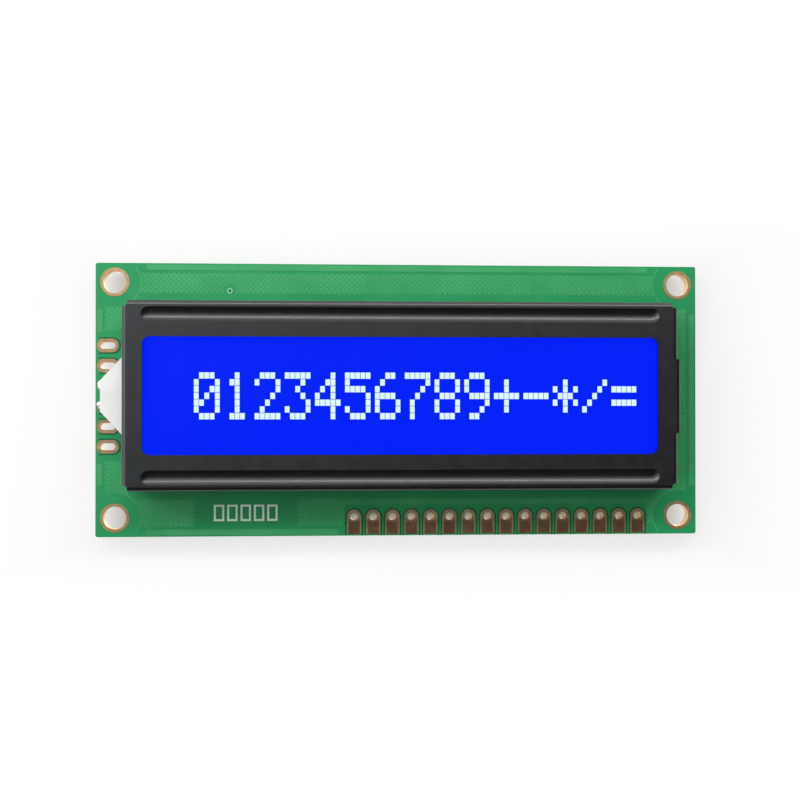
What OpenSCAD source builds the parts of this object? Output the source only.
// Character display module: a chip-on-board circuit board that carries a side-lit liquid
// crystal cell, held down by a folded steel bezel whose tabs are twisted behind the board.
//
// X runs along the board, Y across it towards the top of the characters, and Z out of the
// display. The origin is the centre of the mounting holes, on the board's back face.

/* [Board] */
// Length of the board
board_len = 80; // [79:0.5:90]
// Width of the board
board_wid = 36; // [35:0.5:44]
// Thickness of the board
board_t = 1.6; // [1:0.1:2]
// Radius of the board's corners
board_corner_r = 0.3; // [0.1:0.1:1]
// Thickness of the copper pads and of the plating in the holes
copper_t = 0.05; // [0.03:0.01:0.08]
// Clearance round the plating in its drilled hole
plating_gap = 0.01; // [0:0.005:0.02]
// Diameter of the two index holes
index_hole_d = 1; // [0.6:0.1:1.2]
// Distance along the board from its middle to an index hole
index_hole_x = 15; // [10:0.5:20]
// Diameter of the small open via near the upper edge
via_d = 0.5; // [0.3:0.05:0.8]
// Distance of the small via from the board's left edge
via_edge_x = 17.5; // [14:0.5:22]
// Distance of the small via from the board's upper edge
via_edge_y = 3.6; // [2:0.1:4]

/* [Mounting holes] */
// Distance from the board's edges to the mounting holes
hole_inset = 2.5; // [2.2:0.1:3]
// Bore of the plated mounting holes
hole_bore_d = 3; // [2.5:0.1:3.2]
// Width of the bare pad ring round a mounting hole
hole_ring_w = 0.4; // [0.2:0.05:0.5]

/* [Contact row] */
// Number of contacts
contact_count = 16; // [2:1:16]
// Distance between neighbouring contacts
contact_pitch = 2.54; // [2:0.01:2.6]
// Distance from the board's right edge to the first contact
contact_first_inset = 8; // [6:0.1:12]
// Distance from the board's lower edge to the row
contact_row_inset = 2.5; // [2.2:0.1:3]
// Bore of a contact
contact_bore_d = 1; // [0.7:0.05:1.2]
// Width of a contact pad
contact_pad_w = 1.9; // [1.6:0.05:1.95]
// Gap between the contact pads and the board's edge
contact_edge_gap = 0.2; // [0.1:0.05:0.5]

/* [Edge slots] */
// Number of plated slots at the left edge, of which the backlight uses the middle two
edge_slot_count = 6; // [4:2:6]
// Distance from one edge slot to the next
edge_slot_pitch = 2.66; // [2.4:0.01:2.9]
// Length of an edge slot
edge_slot_len = 2; // [1.6:0.05:2.2]
// Width of an edge slot
edge_slot_wid = 0.9; // [0.7:0.05:1.1]
// Length of the pad round an edge slot
edge_pad_len = 2.8; // [2.6:0.05:3]
// Width of the pad round an edge slot
edge_pad_wid = 1.95; // [1.6:0.05:2.1]
// Gap between the edge pads and the board's edge
edge_pad_gap = 0.2; // [0.1:0.05:0.4]

/* [Bezel] */
// Distance from the board's ends to the bezel
bezel_end_gap = 4.4; // [4:0.1:4.7]
// Width of the bezel
bezel_wid = 24.2; // [24:0.1:24.6]
// Height of the bezel's face above the board
bezel_h = 7; // [6.6:0.1:9]
// Distance of the bezel's middle above the middle of the board
bezel_y = 0.5; // [0.2:0.05:0.8]
// Thickness of the steel sheet
sheet_t = 0.5; // [0.3:0.05:0.6]
// Inside radius of the folds
fold_inner_r = 0.1; // [0.05:0.05:0.3]
// Open slit beside each corner of the fold lines
corner_gap = 0.15; // [0.05:0.05:0.4]
// Width of the bezel's face beside the window's ends
window_end_rim = 2.6; // [2.1:0.1:10]
// Width of the window
window_wid = 15; // [10:0.25:15.5]
// Corner radius of the window
window_r = 1; // [0.4:0.1:3]
// Width of the pressed stiffening grooves
groove_wid = 1.85; // [1.2:0.05:2]
// Depth of the pressed stiffening grooves
groove_depth = 0.4; // [0.2:0.02:0.45]
// Distance from the bezel's long edge to the middle of a groove
groove_inset = 1.75; // [1.75:0.05:1.9]
// Distance from the bezel's end to the end of a groove
groove_end_inset = 2.45; // [2:0.05:8]
// Width of the bulge in the right end wall
bulge_wid = 9.6; // [6:0.1:14]
// How far the bulge stands out
bulge_out = 0.4; // [0.2:0.05:0.45]

/* [Bezel tabs] */
// Distance from the bezel's ends to the middle of the outer tabs
tab_end_inset = 6.6; // [6.6:0.1:15]
// Width of a tab where it passes through the board
tab_wid = 7.8; // [4:0.1:8.4]
// Width of the twisted tongue of a tab
tongue_wid = 7.2; // [3:0.1:7.6]
// Angle by which a tongue is twisted
tongue_twist = 24; // [15:1:35]
// Height over which the tongue is twisted
twist_h = 0.9; // [0.5:0.1:1.2]
// How far each face of a tongue is pinched in by the twisting
tongue_pinch = 0.03; // [0.01:0.01:0.06]
// Reach of a tongue behind the board
tab_reach = 1.65; // [1.5:0.05:2.5]
// Width of the board's slots for the tabs
tab_slot_wid = 1; // [1:0.05:1.6]
// How far each tab slot is shifted in under the bezel, from its wall
tab_slot_shift = 0.15; // [0:0.05:0.2]
// Spare length of the board's slots for the tabs
tab_slot_spare = 0.7; // [0.5:0.05:1]
// Length of the bare pad beside a tab slot
tab_pad_len = 7.15; // [5:0.05:8]
// Width of the bare pad beside a tab slot
tab_pad_wid = 2.6; // [1.5:0.05:2.8]
// Gap between a tab slot and the bare pad beside it
tab_pad_gap = 0.4; // [0.15:0.05:0.6]

/* [Display cell] */
// Thickness of each glass plate
glass_t = 1.1; // [0.7:0.1:1.1]
// Gap between the two glass plates
cell_gap = 0.1; // [0.06:0.02:0.14]
// Thickness of each polarizer
polarizer_t = 0.2; // [0.12:0.02:0.22]
// Gap between the glass and the bezel's walls
glass_gap = 0.2; // [0.1:0.05:0.4]
// Width of the contact ledge by which the front glass overhangs the rear glass
ledge_wid = 2.6; // [2.4:0.05:2.8]
// How far the polarizers reach past the window
polarizer_margin = 0.8; // [0.4:0.05:0.9]
// Width of the seal between the glass plates
seal_wid = 1; // [0.6:0.05:1.1]
// Thin layer left free between pieces that are laid or pressed together
lay_gap = 0.02; // [0.01:0.005:0.04]

/* [Elastomer strips] */
// Gap between the ends of the elastomer strips and the bezel's end walls
strip_end_gap = 4.1; // [2:0.1:10]
// Thickness of an elastomer strip
strip_wid = 1.9; // [1.6:0.05:2]
// Distance between the gold fingers under the strips
finger_pitch = 1.4; // [1.2:0.05:2]
// Width of a gold finger
finger_wid = 0.7; // [0.4:0.05:0.8]

/* [Backlight] */
// Thickness of the backlight housing's walls
housing_wall = 1.1; // [0.8:0.05:1.2]
// Thickness of the backlight housing's floor
housing_floor = 0.6; // [0.4:0.05:0.8]
// Gap between the backlight housing and the pieces beside it
housing_gap = 0.15; // [0.1:0.05:0.25]
// Thickness of the reflector film
reflector_t = 0.1; // [0.05:0.01:0.15]
// Thickness of the diffuser film
diffuser_t = 0.15; // [0.08:0.01:0.2]
// Clearance of the light guide in its pocket
guide_gap = 0.1; // [0.05:0.01:0.15]
// Width of the ear where it leaves the bezel
ear_root_wid = 10.9; // [9:0.1:12]
// Width of the ear at its outer end
ear_tip_wid = 4; // [3.6:0.1:6]
// How far the ear reaches past the middle of an edge slot
ear_past_slot = 0.4; // [0.3:0.05:0.8]
// Thickness of the ear's walls
ear_wall = 0.5; // [0.3:0.05:0.5]
// Height of the ear's underside above the board
ear_lift = 0.9; // [0.8:0.05:1.2]
// Length of the light source
led_len = 6.4; // [4:0.1:7]
// Depth of the light source
led_depth = 1.3; // [1.2:0.05:1.5]
// Height of the light source
led_h = 1.4; // [1:0.05:1.5]
// Clearance round the light source
led_gap = 0.05; // [0.02:0.01:0.1]
// Diameter of the light source's wire leads
lead_d = 0.5; // [0.4:0.05:0.6]
// Bend radius of the leads, to the middle of the wire
lead_bend_r = 0.6; // [0.5:0.05:0.8]
// How far the leads stand inside the middle of their slots
lead_shift = 0.5; // [0.3:0.05:0.5]
// Reach of the leads behind the board
lead_reach = 0.9; // [0.7:0.05:1.2]
// Radius of a backlight solder joint
solder_r = 1.1; // [1:0.05:1.2]
// Height of a solder joint behind the board
solder_back_h = 0.75; // [0.4:0.05:0.8]
// Height of a solder joint in front of the board
solder_front_h = 0.55; // [0.3:0.05:0.6]

/* [Controller] */
// Diameter of the epoxy blob
blob_d = 14.5; // [10:0.5:16]
// Height of the epoxy blob
blob_h = 1.3; // [1:0.05:1.4]
// Radius of the epoxy blob's rounded shoulder
blob_shoulder_r = 2.4; // [2:0.1:4]
// Place of the blob along the board
blob_x = 3.85; // [0:0.05:8]
// Place of the blob across the board
blob_y = 0.3; // [-1:0.05:1]
// Side of the controller die
die_side = 3; // [2:0.1:4]
// Thickness of the controller die
die_t = 0.4; // [0.2:0.05:0.5]
// Side of the copper pad under the die
die_pad_side = 4.4; // [4.2:0.1:6]

/* [Resistors] */
// Length of a small resistor
chip_len = 1.6; // [1.2:0.05:1.8]
// Width of a small resistor
chip_wid = 0.8; // [0.6:0.05:1]
// Height of a small resistor
chip_h = 0.45; // [0.3:0.05:0.6]
// Length of the metal cap at each end of a small resistor
chip_cap = 0.3; // [0.2:0.05:0.4]
// Length of a pad of a small resistor
chip_pad_len = 1.05; // [0.95:0.05:1.2]
// Width of a pad of a small resistor
chip_pad_wid = 1; // [0.8:0.05:1.2]
// Distance of the resistor column from the board's right edge
column_inset = 9.6; // [8:0.1:12]
// Place of the uppermost resistor of the column across the board
column_top_y = 6.1; // [5.5:0.1:6.5]
// Distance between neighbouring resistors of the column
column_pitch = 1.815; // [1.6:0.005:1.85]
// Length of the backlight's series resistor
series_len = 2; // [1.6:0.05:2.2]
// Width of the backlight's series resistor
series_wid = 1.25; // [1:0.05:1.4]
// Height of the backlight's series resistor
series_h = 0.5; // [0.4:0.05:0.65]
// Length of the metal cap at each end of the series resistor
series_cap = 0.4; // [0.3:0.05:0.5]
// Length of a pad of the series resistor
series_pad_len = 1; // [0.95:0.05:1.2]
// Width of a pad of the series resistor
series_pad_wid = 1.35; // [1.1:0.05:1.6]
// Distance of the series resistor from the board's left edge
series_inset = 6.6; // [6:0.1:8]
// Distance of the series resistor, and of the empty place above it, from the board's middle line
series_y = 1.18; // [1:0.02:1.4]
// How far the metal caps stand out of the resistor bodies
cap_proud = 0.03; // [0.01:0.01:0.05]
// Height of the solder fillets against the resistors, as a part of their height
fillet_part = 0.6; // [0.3:0.05:0.9]

/* [Jumpers] */
// Diameter of a jumper pad
jumper_pad_d = 1.05; // [0.8:0.05:1.2]
// Distance between the jumper pads
jumper_pitch = 1.68; // [1.4:0.02:1.9]
// Distance of the jumpers' middle from the board's right edge
jumper_inset_x = 3.2; // [2.5:0.1:4]
// Distance of the jumpers' middle from the board's upper edge
jumper_inset_y = 9.1; // [8:0.1:10]

/* [Hidden] */
$fn = 48;
slop = 0.01; // overlap that keeps joined shapes in one solid
cut_over = 1; // how far a cutting shape reaches past what it cuts
fillet_edge = 0.04; // thickness of a solder fillet at its edges

TWIST_STEPS = 6;
COLUMN_ROWS = 7; // six fitted places and an empty one at the bottom
RESISTORS = COLUMN_ROWS; // six in the column and the series resistor

// Levels of the display stack, from the bezel's face down to the board
bend_r = fold_inner_r + sheet_t;
face_z = board_t + bezel_h;
face_under_z = face_z - sheet_t;
front_glass_top = face_under_z - groove_depth - lay_gap;
front_glass_z = front_glass_top - glass_t;
rear_glass_top = front_glass_z - cell_gap;
rear_glass_z = rear_glass_top - glass_t;
housing_top = rear_glass_z - lay_gap - polarizer_t - lay_gap;
pocket_z = board_t + housing_floor;
guide_z = pocket_z + reflector_t + lay_gap;
diffuser_z = housing_top - lay_gap - diffuser_t;
guide_top = diffuser_z - lay_gap;

// Bezel, its inside, and what fits in it
bezel_len = board_len - 2 * bezel_end_gap;
window_len = bezel_len - 2 * window_end_rim;
tab_pitch = bezel_len / 2 - tab_end_inset;
inner_len = bezel_len - 2 * sheet_t;
inner_wid = bezel_wid - 2 * sheet_t;
glass_len = inner_len - 2 * glass_gap;
front_glass_wid = inner_wid - 2 * glass_gap;
rear_glass_wid = front_glass_wid - 2 * ledge_wid;
strip_y = (rear_glass_wid + ledge_wid) / 2;
strip_len = inner_len - 2 * strip_end_gap;
housing_len = inner_len - 2 * housing_gap;
housing_wid = 2 * (strip_y - strip_wid / 2 - housing_gap);
pocket_len = housing_len - 2 * housing_wall;
pocket_wid = housing_wid - 2 * housing_wall;

// Pressed groove: the radius of a round bottom with this width and depth
groove_r = (pow(groove_wid / 2, 2) + pow(groove_depth, 2)) / (2 * groove_depth);
groove_y = bezel_wid / 2 - groove_inset;
groove_run = bezel_len - 2 * groove_end_inset - groove_wid;

// Edge slots, and the ear and leads that use them
slot_x = -board_len / 2 + edge_pad_gap + edge_pad_len / 2;
lead_x = slot_x + lead_shift;
lead_ys = [for (s = [1, -1]) bezel_y + s * edge_slot_pitch / 2];
ear_x = slot_x - ear_past_slot;
ear_root_x = -bezel_len / 2;
ear_z = board_t + ear_lift;
led_z = (guide_z + guide_top) / 2;
led_x = -pocket_len / 2 - led_gap - led_depth / 2;

tab_y = bezel_wid / 2 - sheet_t / 2;
tab_slot_y = tab_y - tab_slot_shift;
tab_pad_y = tab_slot_y - tab_slot_wid / 2 - tab_pad_gap - tab_pad_wid / 2;

hole_x = board_len / 2 - hole_inset;
hole_y = board_wid / 2 - hole_inset;
contact_y = -board_wid / 2 + contact_row_inset;
column_x = board_len / 2 - column_inset;
series_x = -board_len / 2 + series_inset;

// Half the width of the ear at a place along the board
function ear_half(x) =
    (ear_root_wid + (ear_tip_wid - ear_root_wid) * (x - ear_root_x) / (ear_x - ear_root_x)) / 2;

function contact_x(i) = board_len / 2 - contact_first_inset - (i - 1) * contact_pitch;

function edge_slot_y(i) = bezel_y + ((edge_slot_count - 1) / 2 - i) * edge_slot_pitch;

function column_y(row) = column_top_y - row * column_pitch;

// ---- Shapes that several pieces share ----

module stadium(len, wid) {
    square([len - wid, wid], center = true);
    for (s = [-1, 1])
        translate([s * (len - wid) / 2, 0])
            circle(d = wid);
}

module rounded_rect(len, wid, r) {
    square([len - 2 * r, wid], center = true);
    square([len, wid - 2 * r], center = true);
    for (sx = [-1, 1], sy = [-1, 1])
        translate([sx * (len / 2 - r), sy * (wid / 2 - r)])
            circle(r = r);
}

// A sheet centred on the bezel
module sheet(len, wid, z, t) {
    translate([-len / 2, bezel_y - wid / 2, z])
        cube([len, wid, t]);
}

module at_corners() {
    for (sx = [-1, 1], sy = [-1, 1])
        translate([sx * hole_x, sy * hole_y, 0])
            children();
}

// Places of the tabs, turned so that +Y points out of the bezel
module at_tabs() {
    for (side = [0, 180], i = [-1 : 1])
        translate([0, bezel_y, 0])
            rotate([0, 0, side])
                translate([i * tab_pitch, 0, 0])
                    children();
}

module at_edge_slots() {
    for (i = [0 : edge_slot_count - 1])
        translate([slot_x, edge_slot_y(i), 0])
            children();
}

// A plated hole: a pad on both faces, joined by plating through the board
module plated_through() {
    difference() {
        union() {
            for (z = [-copper_t, board_t])
                translate([0, 0, z])
                    linear_extrude(copper_t)
                        children(0);
            translate([0, 0, -slop])
                linear_extrude(board_t + 2 * slop)
                    children(1);
        }
        translate([0, 0, -cut_over])
            linear_extrude(board_t + 2 * cut_over)
                children(2);
    }
}

// ---- Board ----

module contact_pad() {
    circle(d = contact_pad_w);
    translate([-contact_pad_w / 2, contact_edge_gap - contact_row_inset])
        square([contact_pad_w, contact_row_inset - contact_edge_gap]);
}

module board_holes() {
    drill_gap = 2 * (copper_t + plating_gap);
    at_corners()
        circle(d = hole_bore_d + drill_gap);
    for (i = [1 : contact_count])
        translate([contact_x(i), contact_y])
            circle(d = contact_bore_d + drill_gap);
    at_edge_slots()
        stadium(edge_slot_len + drill_gap, edge_slot_wid + drill_gap);
    at_tabs()
        translate([0, tab_slot_y])
            stadium(tab_wid + tab_slot_spare, tab_slot_wid);
    for (s = [-1, 1])
        translate([s * index_hole_x, bezel_y + s * tab_slot_y])
            circle(d = index_hole_d);
    translate([via_edge_x - board_len / 2, board_wid / 2 - via_edge_y])
        circle(d = via_d);
}

module pcb() {
    color("seagreen")
        linear_extrude(board_t)
            difference() {
                rounded_rect(board_len, board_wid, board_corner_r);
                board_holes();
            }
}

module corner_plating(i) {
    sx = i % 2 == 1 ? -1 : 1;
    sy = i > 2 ? -1 : 1;
    color("goldenrod")
        translate([sx * hole_x, sy * hole_y, 0])
            plated_through() {
                circle(d = hole_bore_d + 2 * hole_ring_w);
                circle(d = hole_bore_d + 2 * copper_t);
                circle(d = hole_bore_d);
            }
}

module contact(i) {
    color("goldenrod")
        translate([contact_x(i), contact_y, 0])
            plated_through() {
                contact_pad();
                circle(d = contact_bore_d + 2 * copper_t);
                circle(d = contact_bore_d);
            }
}

module edge_slot_plating() {
    color("goldenrod")
        at_edge_slots()
            plated_through() {
                stadium(edge_pad_len, edge_pad_wid);
                stadium(edge_slot_len + 2 * copper_t, edge_slot_wid + 2 * copper_t);
                stadium(edge_slot_len, edge_slot_wid);
            }
}

module tab_pads() {
    color("goldenrod")
        at_tabs()
            translate([0, tab_pad_y, -copper_t])
                linear_extrude(copper_t)
                    stadium(tab_pad_len, tab_pad_wid);
}

module jumper_pads() {
    color("goldenrod")
        for (sx = [-1, 1], sy = [-1, 1])
            translate([board_len / 2 - jumper_inset_x + sx * jumper_pitch / 2,
                       board_wid / 2 - jumper_inset_y + sy * jumper_pitch / 2, -copper_t])
                cylinder(d = jumper_pad_d, h = copper_t);
}

// Gold fingers on the board's front face, which the elastomer strips join to the glass
module strip_fingers() {
    fingers = floor((strip_len - finger_wid) / finger_pitch);
    color("goldenrod")
        for (s = [-1, 1], i = [0 : fingers])
            translate([(i - fingers / 2) * finger_pitch - finger_wid / 2,
                       bezel_y + s * strip_y - strip_wid / 2, board_t])
                cube([finger_wid, strip_wid, copper_t]);
}

// ---- Bezel ----

// Section across a fold: the wall's outer face is on the left axis and the board at the bottom
module fold_section() {
    translate([-sheet_t, 0])
        square([sheet_t, bezel_h - bend_r]);
    translate([-bend_r, bezel_h - bend_r])
        intersection() {
            difference() {
                circle(r = bend_r);
                circle(r = fold_inner_r);
            }
            square(bend_r);
        }
}

// Block with the same outer section, solid inside
module solid_fold_section(depth) {
    translate([-depth, 0])
        square([depth, bezel_h - bend_r]);
    translate([-depth, 0])
        square([depth - bend_r, bezel_h]);
    translate([-bend_r, bezel_h - bend_r])
        intersection() {
            circle(r = bend_r);
            square(bend_r);
        }
}

// Extrudes a section along one side of the bezel, dist out from its middle
module along_side(turn, dist, run) {
    rotate([0, 0, turn])
        translate([dist, run / 2, 0])
            rotate([90, 0, 0])
                linear_extrude(run)
                    children();
}

// Round-bottomed trough with ball ends, its middle on the face
module trough(r) {
    translate([0, 0, bezel_h + groove_r - groove_depth]) {
        rotate([0, 90, 0])
            cylinder(r = r, h = groove_run, center = true);
        for (s = [-1, 1])
            translate([s * groove_run / 2, 0, 0])
                sphere(r = r);
    }
}

module pressed_ridge() {
    reach = groove_r + sheet_t;
    intersection() {
        trough(reach);
        translate([-groove_run / 2 - reach, -reach, bezel_h - sheet_t - groove_depth - slop])
            cube([groove_run + 2 * reach, 2 * reach, groove_depth + 2 * slop]);
    }
}

module bulge_plan(out, half) {
    polygon([[-bend_r, -half], [0, -half], [out, -half + out], [out, half - out],
             [0, half], [-bend_r, half]]);
}

module end_bulge() {
    translate([bezel_len / 2, 0, 0])
        intersection() {
            translate([bulge_out, bulge_wid / 2, 0])
                rotate([90, 0, 0])
                    linear_extrude(bulge_wid)
                        solid_fold_section(bend_r + bulge_out);
            linear_extrude(bezel_h)
                bulge_plan(bulge_out, bulge_wid / 2);
        }
}

module bulge_hollow() {
    translate([bezel_len / 2 - sheet_t, 0, -cut_over])
        linear_extrude(bezel_h - sheet_t + cut_over)
            bulge_plan(bulge_out, bulge_wid / 2 - sheet_t);
}

// Rings of four corners joined into one closed solid, from the lowest ring up
module ring_stack(rings) {
    last = len(rings) - 1;
    polyhedron(
        points = [for (ring = rings) each ring],
        faces = concat(
            [[0, 1, 2], [0, 2, 3]],
            [for (k = [0 : last - 1], c = [0 : 3])
                let (low = 4 * k + c, next = 4 * k + (c + 1) % 4)
                each [[low, low + 4, next + 4], [low, next + 4, next]]],
            [[4 * last + 2, 4 * last + 1, 4 * last], [4 * last + 3, 4 * last + 2, 4 * last]]
        )
    );
}

// Section of a tongue, turned by an angle at a level below the board's back face
function tongue_ring(level, angle) =
    [for (c = [[1, 1], [-1, 1], [-1, -1], [1, -1]])
        let (x = c[0] * tongue_wid / 2, y = c[1] * (sheet_t / 2 - tongue_pinch))
        [x * cos(angle) - y * sin(angle), x * sin(angle) + y * cos(angle), level - board_t]];

module tab() {
    // Straight root, through the board
    translate([-tab_wid / 2, tab_y - sheet_t / 2, -board_t])
        cube([tab_wid, sheet_t, board_t + slop]);
    // Tongue: straight end, twisted neck, and a stub inside the root
    translate([0, tab_y, 0])
        ring_stack(concat(
            [tongue_ring(-tab_reach, -tongue_twist)],
            [for (k = [0 : 1 / TWIST_STEPS : 1]) tongue_ring((k - 1) * twist_h, (k - 1) * tongue_twist)],
            [tongue_ring(board_t / 4, 0)]
        ));
}

module ear_notch() {
    notch_half = ear_half(-inner_len / 2) + housing_gap;
    translate([-bezel_len / 2 - cut_over, -notch_half, -cut_over])
        cube([sheet_t + cut_over + slop, 2 * notch_half,
              housing_top - board_t + housing_gap + cut_over]);
}

module bezel() {
    color([0.2, 0.2, 0.21])
        translate([0, bezel_y, board_t])
            difference() {
                union() {
                    translate([0, 0, bezel_h - sheet_t])
                        linear_extrude(sheet_t)
                            square([bezel_len - 2 * bend_r, bezel_wid - 2 * bend_r], center = true);
                    for (turn = [0, 180])
                        along_side(turn, bezel_len / 2, bezel_wid - 2 * (bend_r + corner_gap))
                            fold_section();
                    for (turn = [90, 270])
                        along_side(turn, bezel_wid / 2, bezel_len - 2 * (bend_r + corner_gap))
                            fold_section();
                    for (s = [-1, 1])
                        translate([0, s * groove_y, 0])
                            pressed_ridge();
                    end_bulge();
                    translate([0, -bezel_y, 0])
                        at_tabs()
                            tab();
                }
                for (s = [-1, 1])
                    translate([0, s * groove_y, 0])
                        trough(groove_r);
                translate([0, 0, bezel_h - sheet_t - cut_over])
                    linear_extrude(sheet_t + 2 * cut_over)
                        rounded_rect(window_len, window_wid, window_r);
                bulge_hollow();
                ear_notch();
            }
}

// ---- Display cell ----

polarizer_len = window_len + 2 * polarizer_margin;
polarizer_wid = window_wid + 2 * polarizer_margin;

module front_polarizer() {
    color("lightsteelblue", 0.4)
        sheet(polarizer_len, polarizer_wid, front_glass_top + lay_gap / 2, polarizer_t);
}

module front_glass() {
    color("lightcyan", 0.4)
        sheet(glass_len, front_glass_wid, front_glass_z, glass_t);
}

module glass_seal() {
    color("ivory")
        difference() {
            sheet(glass_len, rear_glass_wid, rear_glass_top, cell_gap);
            sheet(glass_len - 2 * seal_wid, rear_glass_wid - 2 * seal_wid,
                  rear_glass_top - cut_over, cell_gap + 2 * cut_over);
        }
}

module liquid_crystal() {
    color([0, 0.13, 0.99])
        sheet(glass_len - 2 * seal_wid - 2 * lay_gap, rear_glass_wid - 2 * seal_wid - 2 * lay_gap,
              rear_glass_top, cell_gap - lay_gap);
}

module rear_glass() {
    color("lightcyan", 0.4)
        sheet(glass_len, rear_glass_wid, rear_glass_z, glass_t);
}

module rear_polarizer() {
    color("lightsteelblue", 0.4)
        sheet(polarizer_len, polarizer_wid, housing_top + lay_gap, polarizer_t);
}

module elastomer_strip(side) {
    color("dimgray")
        translate([-strip_len / 2, bezel_y + side * strip_y - strip_wid / 2, board_t + copper_t])
            cube([strip_len, strip_wid, front_glass_z - board_t - copper_t]);
}

// ---- Backlight ----

// Plan of the ear, inset by a wall, from the housing's end to its tip
module ear_plan(wall) {
    root = -housing_len / 2 + housing_wall / 2 + wall;
    tip = ear_x + wall;
    polygon([[root, ear_half(root) - wall], [tip, ear_half(tip) - 1.4 * wall],
             [tip, -ear_half(tip) + 1.4 * wall], [root, -ear_half(root) + wall]]);
}

module backlight_housing() {
    color("whitesmoke")
        difference() {
            union() {
                sheet(housing_len, housing_wid, board_t, housing_top - board_t);
                translate([0, bezel_y, ear_z])
                    linear_extrude(housing_top - ear_z)
                        ear_plan(0);
            }
            // Pocket for the light guide and its films
            sheet(pocket_len, pocket_wid, pocket_z, housing_top);
            // Hollow ear, open below
            translate([0, bezel_y, ear_z - cut_over])
                linear_extrude(housing_top - ear_wall - ear_z + cut_over)
                    intersection() {
                        ear_plan(ear_wall);
                        translate([-board_len, -board_wid / 2])
                            square([board_len - housing_len / 2, board_wid]);
                    }
            // Opening through the end wall for the light source
            translate([-housing_len / 2 - slop, bezel_y - led_len / 2 - led_gap,
                       led_z - led_h / 2 - led_gap])
                cube([housing_wall + 2 * slop, led_len + 2 * led_gap, led_h + 2 * led_gap]);
        }
}

module reflector_film() {
    color("white")
        sheet(pocket_len - 2 * guide_gap, pocket_wid - 2 * guide_gap, pocket_z, reflector_t);
}

module light_guide() {
    color("aliceblue", 0.5)
        sheet(pocket_len - 2 * guide_gap, pocket_wid - 2 * guide_gap, guide_z,
              guide_top - guide_z);
}

module diffuser_film() {
    color("white")
        sheet(pocket_len - 2 * guide_gap, pocket_wid - 2 * guide_gap, diffuser_z, diffuser_t);
}

module backlight_led() {
    color("floralwhite")
        translate([led_x - led_depth / 2, bezel_y - led_len / 2, led_z - led_h / 2])
            cube([led_depth, led_len, led_h]);
}

// One wire, bent from the back of the light source down through its slot
module lead(y, grow = 0) {
    d = lead_d + 2 * grow;
    start_x = led_x - led_depth / 2;
    bend_x = lead_x + lead_bend_r;
    translate([bend_x, y, led_z])
        rotate([0, 90, 0])
            cylinder(d = d, h = start_x - bend_x);
    translate([bend_x, y, led_z - lead_bend_r])
        rotate([90, 0, 0])
            rotate_extrude(angle = 90, start = 90)
                translate([lead_bend_r, 0])
                    circle(d = d);
    translate([lead_x, y, -lead_reach - grow])
        cylinder(d = d, h = lead_reach + grow + led_z - lead_bend_r);
}

module anode_lead() {
    color("silver")
        lead(lead_ys[0]);
}

module cathode_lead() {
    color("silver")
        lead(lead_ys[1]);
}

// Solder wetted up the lead and the pad from one face of the board
module solder_bead(height) {
    rotate_extrude()
        polygon(concat(
            [[0, 0], [solder_r, 0]],
            [for (a = [0 : 15 : 75])
                [solder_r * (1 - 0.62 * sin(a)), height * (1 - cos(a)) / 0.75]],
            [[0, height]]
        ));
}

module backlight_solder() {
    color("silver")
        for (y = lead_ys)
            difference() {
                union() {
                    translate([lead_x, y, board_t + copper_t])
                        solder_bead(solder_front_h);
                    translate([lead_x, y, -copper_t])
                        mirror([0, 0, 1])
                            solder_bead(solder_back_h);
                    translate([slot_x, y, -copper_t - slop])
                        linear_extrude(board_t + 2 * copper_t + 2 * slop)
                            stadium(edge_slot_len - 2 * plating_gap,
                                    edge_slot_wid - 2 * plating_gap);
                }
                lead(y, plating_gap);
            }
}

// ---- Controller ----

// Half the section of a domed drop of resin: a round shoulder under a shallow crown
module blob_section() {
    lean = 50;
    shoulder_h = blob_shoulder_r * (1 - cos(lean));
    shoulder_in = blob_shoulder_r * sin(lean);
    crown_r = blob_d / 2 - shoulder_in;
    crown_h = blob_h - shoulder_h;
    polygon(concat(
        [[0, 0], [blob_d / 2, 0]],
        [for (a = [lean - 10 : -10 : 10])
            [blob_d / 2 - shoulder_in + blob_shoulder_r * sin(a),
             shoulder_h - blob_shoulder_r * (1 - cos(a))]],
        [for (k = [0 : 0.2 : 1])
            [crown_r * cos(90 * k), shoulder_h + crown_h * sin(90 * k)]]
    ));
}

module epoxy_blob() {
    color([0.1, 0.1, 0.1])
        translate([blob_x, blob_y, 0])
            mirror([0, 0, 1])
                difference() {
                    rotate_extrude()
                        blob_section();
                    translate([0, 0, -cut_over])
                        linear_extrude(cut_over + copper_t)
                            square(die_pad_side + 2 * plating_gap, center = true);
                    translate([0, 0, -cut_over])
                        linear_extrude(cut_over + copper_t + die_t + plating_gap)
                            square(die_side + 2 * plating_gap, center = true);
                }
}

module controller_die() {
    color("slategray")
        translate([blob_x - die_side / 2, blob_y - die_side / 2, -copper_t - die_t])
            cube([die_side, die_side, die_t]);
}

module die_pad() {
    color("goldenrod")
        translate([blob_x - die_pad_side / 2, blob_y - die_pad_side / 2, -copper_t])
            cube([die_pad_side, die_pad_side, copper_t]);
}

// ---- Resistors ----

// Resistor lying under the board: a ceramic body between two wrapped metal caps
module chip_resistor(len, wid, height, cap) {
    translate([-len / 2 + slop, -wid / 2 + cap_proud, -copper_t - height + cap_proud])
        cube([len - 2 * slop, wid - 2 * cap_proud, height - 2 * cap_proud]);
    for (s = [-1, 1])
        translate([s * (len - cap) / 2 - cap / 2, -wid / 2, -copper_t - height])
            cube([cap, wid, height]);
}

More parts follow.
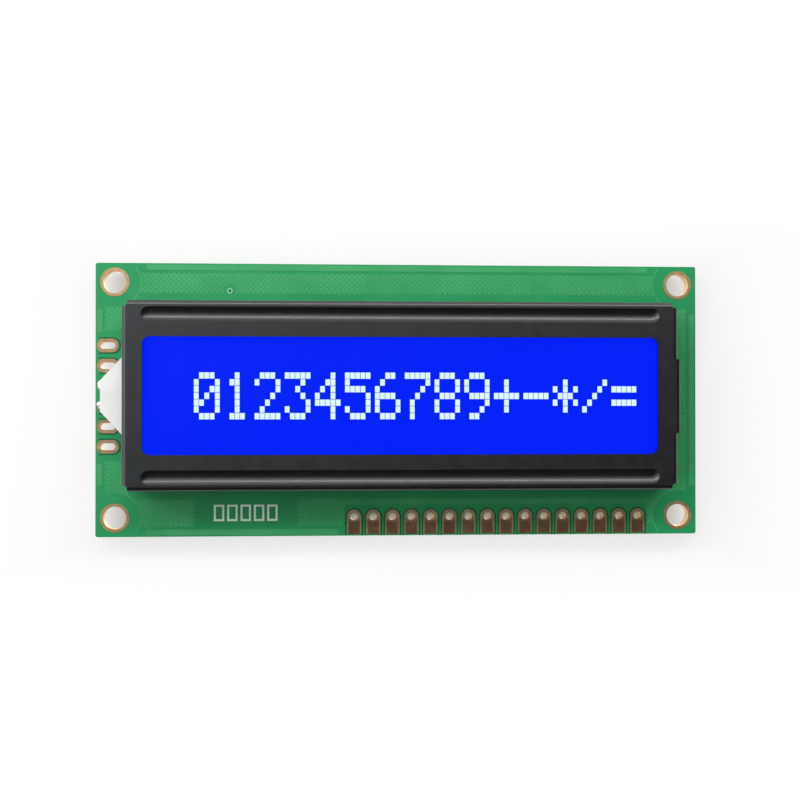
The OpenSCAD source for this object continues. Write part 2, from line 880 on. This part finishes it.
// Pads whose outer ends lie past the resistor's own ends by half a pad
module chip_pads(len, pad_len, pad_wid) {
    for (s = [-1, 1])
        translate([s * len / 2 - pad_len / 2, -pad_wid / 2, -copper_t])
            cube([pad_len, pad_wid, copper_t]);
}

module chip_fillets(len, wid, height, pad_len) {
    for (turn = [0, 180])
        rotate([0, 0, turn])
            translate([len / 2, wid / 2, -copper_t])
                rotate([90, 0, 0])
                    linear_extrude(wid)
                        difference() {
                            polygon([[0, 0], [pad_len / 2, 0], [pad_len / 2, -fillet_edge],
                                     [fillet_edge, -height * fillet_part],
                                     [0, -height * fillet_part]]);
                            translate([pad_len * 0.8, -height])
                                circle(r = height * 0.75);
                        }
}

module resistor(i) {
    color("dimgray")
        if (i < RESISTORS)
            translate([column_x, column_y(RESISTORS - 1 - i), 0])
                chip_resistor(chip_len, chip_wid, chip_h, chip_cap);
        else
            translate([series_x, -series_y, 0])
                chip_resistor(series_len, series_wid, series_h, series_cap);
}

module resistor_pads() {
    color("goldenrod") {
        for (row = [0 : COLUMN_ROWS - 1])
            translate([column_x, column_y(row), 0])
                chip_pads(chip_len, chip_pad_len, chip_pad_wid);
        for (s = [-1, 1])
            translate([series_x, s * series_y, 0])
                chip_pads(series_len, series_pad_len, series_pad_wid);
    }
}

module resistor_solder() {
    color("silver") {
        for (row = [0 : COLUMN_ROWS - 2])
            translate([column_x, column_y(row), 0])
                chip_fillets(chip_len, chip_wid, chip_h, chip_pad_len);
        translate([series_x, -series_y, 0])
            chip_fillets(series_len, series_wid, series_h, series_pad_len);
    }
}

// ---- Module ----

pcb();
bezel();
front_polarizer();
front_glass();
glass_seal();
liquid_crystal();
rear_glass();
rear_polarizer();
elastomer_strip(1);  // elastomer_strip_upper
elastomer_strip(-1);  // elastomer_strip_lower
diffuser_film();
light_guide();
reflector_film();
backlight_housing();
backlight_led();
anode_lead();
cathode_lead();
backlight_solder();
epoxy_blob();
controller_die();
die_pad();
strip_fingers();
edge_slot_plating();
tab_pads();
jumper_pads();
resistor_pads();
resistor_solder();
for (i = [1 : RESISTORS])
    resistor(i);
for (i = [1 : 4])
    corner_plating(i);
for (i = [1 : contact_count])
    contact(i);
